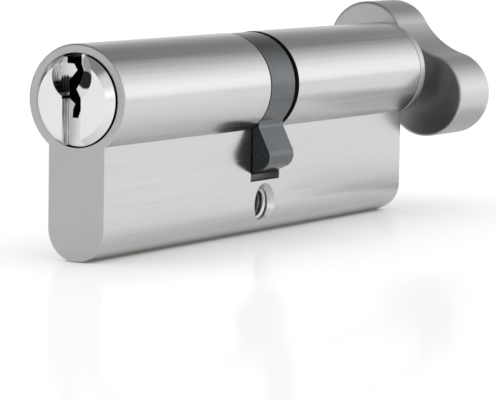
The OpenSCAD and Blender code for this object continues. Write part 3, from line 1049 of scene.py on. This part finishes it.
@dataclass(frozen=True)
class DarkCard:
    """A card that only reflections show, from its front; it stands or lies flat, and may fade out."""

    name: str
    centre: tuple[float, float, float]
    azimuth: float
    width: float
    height: float
    brightness: float
    flat: bool = False
    fade: tuple[float, float] | None = None

    def build(self) -> None:
        """Puts the card in its place, facing its azimuth, where 0 is +Y and 90 is +X, or facing up."""
        turn = math.radians(self.azimuth)
        tilt = 0.0 if self.flat else -math.pi / 2
        bpy.ops.object.select_all(action="DESELECT")
        bpy.ops.mesh.primitive_plane_add(size=1.0, location=self.centre, rotation=(tilt, 0.0, -turn))
        card = bpy.context.object
        card.name = self.name
        card.scale = (self.width, self.height, 1.0)
        material = bpy.data.materials.new(self.name)
        material.use_nodes = True
        graph = Graph(material.node_tree)
        glow = graph.add("ShaderNodeEmission", {"Strength": self.brightness})
        clear = graph.add("ShaderNodeBsdfTransparent")
        unseen = graph.add("ShaderNodeNewGeometry").outputs["Backfacing"]
        if self.fade is not None:
            x, y, _ = graph.place()
            unseen = graph.math("MAXIMUM", unseen, graph.ramp(graph.length(x, y), *self.fade))
        surface = graph.add("ShaderNodeMixShader", {0: unseen, 1: glow.outputs[0], 2: clear.outputs[0]})
        graph.add("ShaderNodeOutputMaterial", {"Surface": surface.outputs[0]})
        card.data.materials.append(material)
        card.visible_camera = card.visible_diffuse = card.visible_shadow = False


@dataclass
class Studio:
    """Floor, cards, dome, lamp and camera; the floor is matt round the left card's foot."""

    floor_radius: float = 6.0
    floor_sides: int = 96
    floor_colour: float = 0.9
    floor_glow: float = 0.22
    contact_reach: float = 0.8 * MM
    contact_glow: float = 0.25
    contact_samples: int = 8
    floor_gloss: float = 0.18
    floor_matt_centre: tuple[float, float] = LEFT_CARD_FOOT
    floor_matt_fade: tuple[float, float] = (0.1, 0.17)
    floor_roughness: float = 0.1
    dome_low: float = 0.34
    dome_high: float = 1.15
    dome_fade: tuple[float, float] = (31.0, 5.0)
    patches: tuple[LightPatch, ...] = (
        LightPatch(azimuth=42.0, elevation=19.0, inner=6.0, outer=40.0, strength=0.86),
        LightPatch(azimuth=100.0, elevation=30.0, inner=24.0, outer=38.0, strength=0.75),
    )
    cards: tuple[DarkCard, ...] = (
        DarkCard(
            "left_card", (*LEFT_CARD_FOOT, 0.04),
            azimuth=109.0, width=0.211, height=0.196, brightness=0.12, fade=(0.25, 0.5),
        ),
        # Painted shade: a dark sheet in the gap between the head and the knob, seen only in reflections
        DarkCard(
            "knob_gap_card", (5.8 * MM, 50.9 * MM, PLUG_AXIS_Z - 5.0 * MM),
            azimuth=0.0, width=11.6 * MM, height=24.0 * MM, brightness=0.06,
        ),
        DarkCard(
            "knob_shade_card", (17.0 * MM, 90.0 * MM, FLOOR_Z + 0.15 * MM),
            azimuth=0.0, width=64.0 * MM, height=84.0 * MM, brightness=0.62, flat=True, fade=(0.28, 0.5),
        ),
    )
    sun_towards: tuple[float, float, float] = (-0.12, 0.06, 1.0)
    sun_angle: float = 110.0
    sun_strength: float = 2.1
    camera_azimuth: float = 28.975
    camera_elevation: float = 5.707
    camera_roll: float = 0.842
    camera_distance: float = 530 * MM
    camera_aim: tuple[float, float, float] = (0.95 * MM, 1.7 * MM, 0.24 * MM)
    camera_lens: float = 234.18
    camera_sensor: float = 36.0
    camera_clip: float = 10 * MM

    def build(self) -> None:
        """Sets the stage around the object."""
        self._floor()
        for card in self.cards:
            card.build()
        self._dome()
        self._sun()
        self._camera()
        bpy.context.scene.view_settings.view_transform = "Standard"

    def _floor(self) -> None:
        """Lays a pale glossy floor under the foot of the profile."""
        bpy.ops.object.select_all(action="DESELECT")
        bpy.ops.mesh.primitive_circle_add(
            vertices=self.floor_sides, radius=self.floor_radius, fill_type="NGON",
            location=(0.0, 0.0, FLOOR_Z),
        )
        floor = bpy.context.object
        floor.name = "floor"
        material = bpy.data.materials.new("pale_floor")
        material.use_nodes = True
        graph = Graph(material.node_tree)
        pale = (self.floor_colour,) * 3 + (1.0,)
        matt = graph.add("ShaderNodeBsdfDiffuse", {"Color": pale})
        path = graph.add("ShaderNodeLightPath").outputs
        seen = graph.math("MAXIMUM", path["Is Camera Ray"], path["Is Glossy Ray"])
        seen = graph.math("MAXIMUM", seen, path["Is Transmission Ray"])
        # Painted contact shadow: the floor's glow dims where the object stands close over it
        near = {"Distance": self.contact_reach}
        openness = graph.add("ShaderNodeAmbientOcclusion", near, samples=self.contact_samples)
        least = self.contact_glow * self.floor_glow
        contact = graph.ramp(openness.outputs["AO"], 0.0, 1.0, least, self.floor_glow)
        strength = graph.math("MULTIPLY", seen, contact)
        glow = graph.add("ShaderNodeEmission", {"Strength": strength})
        lit = graph.add("ShaderNodeAddShader", {0: matt.outputs[0], 1: glow.outputs[0]})
        gloss = graph.add("ShaderNodeBsdfGlossy", {"Roughness": self.floor_roughness})
        x, y, _ = graph.place()
        matt_x, matt_y = self.floor_matt_centre
        away = graph.length(graph.math("SUBTRACT", x, matt_x), graph.math("SUBTRACT", y, matt_y))
        share = graph.ramp(away, *self.floor_matt_fade, 0.0, self.floor_gloss)
        surface = graph.add("ShaderNodeMixShader", {0: share, 1: lit.outputs[0], 2: gloss.outputs[0]})
        graph.add("ShaderNodeOutputMaterial", {"Surface": surface.outputs[0]})
        floor.data.materials.append(material)

    def _dome(self) -> None:
        """Surrounds the stage with a dome that is bright at the horizon and dim above."""
        world = bpy.data.worlds.new("studio_dome")
        bpy.context.scene.world = world
        world.use_nodes = True
        graph = Graph(world.node_tree)
        direction = graph.add("ShaderNodeTexCoord").outputs["Generated"]
        rise = graph.add("ShaderNodeSeparateXYZ", {0: direction}).outputs["Z"]
        top, bottom = (math.sin(math.radians(angle)) for angle in self.dome_fade)
        light = graph.ramp(rise, bottom, top, self.dome_high, self.dome_low)
        reflected = graph.add("ShaderNodeLightPath").outputs["Is Glossy Ray"]
        for patch in self.patches:
            facing = graph.vector("DOT_PRODUCT", direction, patch.direction())
            edge, core = (math.cos(math.radians(angle)) for angle in (patch.outer, patch.inner))
            spot = graph.math("MULTIPLY", graph.ramp(facing, edge, core, 0.0, patch.strength), reflected)
            light = graph.math("ADD", light, spot)
        background = graph.add("ShaderNodeBackground", {"Strength": light})
        graph.add("ShaderNodeOutputWorld", {"Surface": background.outputs[0]})

    def _sun(self) -> None:
        """Lights the floor softly from above; the metal shows only the dome, the floor and the cards."""
        data = bpy.data.lights.new("overhead_light", "SUN")
        data.energy = self.sun_strength
        data.angle = math.radians(self.sun_angle)
        sun = bpy.data.objects.new("overhead_light", data)
        sun.matrix_world = Vector(self.sun_towards).to_track_quat("Z", "Y").to_matrix().to_4x4()
        sun.visible_glossy = False
        bpy.context.scene.collection.objects.link(sun)

    def _camera(self) -> None:
        """Places the camera at the photograph's view."""
        data = bpy.data.cameras.new("camera")
        data.lens = self.camera_lens
        data.sensor_width = self.camera_sensor
        data.clip_start = self.camera_clip
        camera = bpy.data.objects.new("camera", data)
        turn, rise = math.radians(self.camera_azimuth), math.radians(self.camera_elevation)
        back = Vector((math.sin(turn) * math.cos(rise), -math.cos(turn) * math.cos(rise), math.sin(rise)))
        look = (-back).to_track_quat("-Z", "Y").to_matrix().to_4x4()
        roll = Matrix.Rotation(math.radians(self.camera_roll), 4, "Z")
        stand = Matrix.Translation(Vector(self.camera_aim) + back * self.camera_distance)
        camera.matrix_world = stand @ look @ roll
        bpy.context.scene.collection.objects.link(camera)
        bpy.context.scene.camera = camera


def main() -> None:
    """Dresses the object and sets the stage."""
    logging.basicConfig(level=logging.INFO, format="%(name)s: %(message)s")
    finishes = Finishes()
    for assembly in (Housing(finishes), KeySide(finishes), CamDrive(finishes), Thumbturn(finishes)):
        assembly.build()
    Studio().build()


if __name__ == "__main__":
    main()
